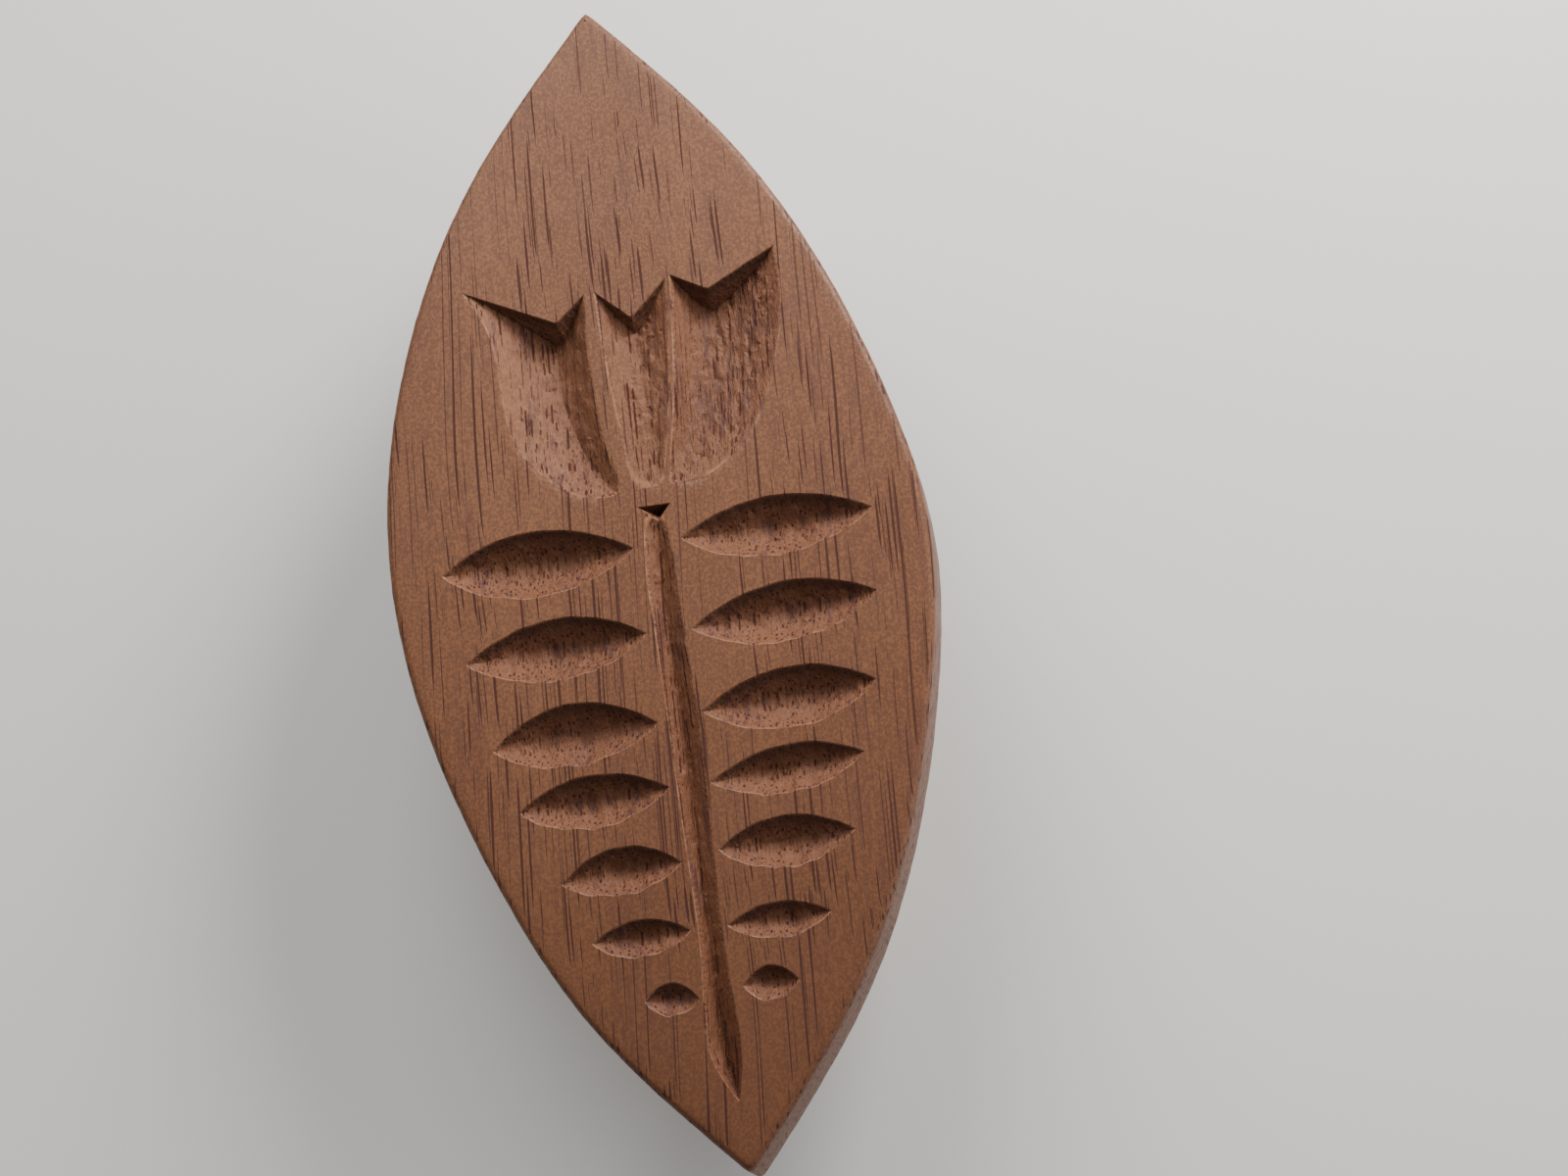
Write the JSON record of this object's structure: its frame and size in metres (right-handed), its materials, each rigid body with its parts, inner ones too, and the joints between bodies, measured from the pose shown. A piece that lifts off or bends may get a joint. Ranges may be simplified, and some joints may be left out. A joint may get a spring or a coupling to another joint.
{
  "type": "clothespin",
  "caption": "Spring clothespin with a carved leaf-shaped wooden panel on its front leg; squeezing the handles opens the jaws.",
  "frame": {"origin": "point of the rear leg's flat outer face under the middle of the leaf's long axis", "axes": "+X across the leaf, +Y along the leaf towards the tulip and the jaws, +Z out of the leaf's carved face"},
  "size_m": [0.0357, 0.08, 0.0177],
  "materials": {
    "mahogany": "bare hand-carved hardwood with open pores",
    "beech": "bare planed wood",
    "dried_glue": "dried wood glue",
    "spring_wire": "bright drawn wire"
  },
  "bodies": {
    "rear": {"rear_leg": "beech", "torsion_spring": "spring_wire"},
    "front": {"leaf_panel": "mahogany", "glue_bed_upper": "dried_glue", "glue_bed_lower": "dried_glue", "front_leg": "beech"}
  },
  "joints": [
    {"name": "jaw_opening", "type": "hinge", "parent": "rear", "child": "front", "pos_m": [0, 0.004, 0.00625], "axis": [1, 0, 0], "range_deg": [0, 12], "stiffness_Nm_per_rad": 0.1, "springref_deg": -57.3, "deforming": ["torsion_spring"]}
  ]
}
